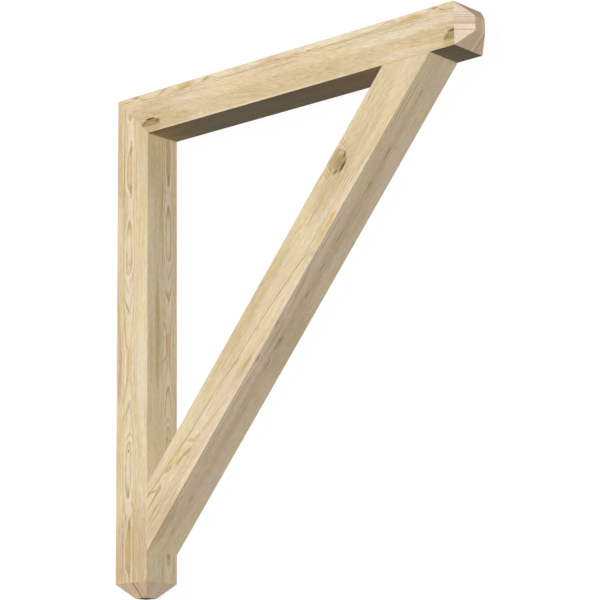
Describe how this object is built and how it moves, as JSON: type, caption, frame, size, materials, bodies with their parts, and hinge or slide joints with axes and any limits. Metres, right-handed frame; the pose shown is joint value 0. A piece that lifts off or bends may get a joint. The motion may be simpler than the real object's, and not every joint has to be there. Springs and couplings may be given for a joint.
{
  "type": "timber bracket",
  "caption": "Triangular rough-sawn timber wall bracket: post and top beam mitred at the corner, a diagonal brace between them and bevelled block ends; carries an eave or shelf.",
  "frame": {"origin": "centre of the bracket's box in plan, on the ground that it lies on", "axes": "+X from the wall out along the beam, +Y up the post, +Z through the thickness, which is up while it lies on its side"},
  "size_m": [1.0668, 1.2192, 0.1016],
  "materials": {
    "rough_sawn_fir": "unfinished rough-sawn softwood, matte"
  },
  "bodies": {
    "root": {"wall_post": "rough_sawn_fir", "top_beam": "rough_sawn_fir", "diagonal_brace": "rough_sawn_fir"}
  },
  "joints": []
}
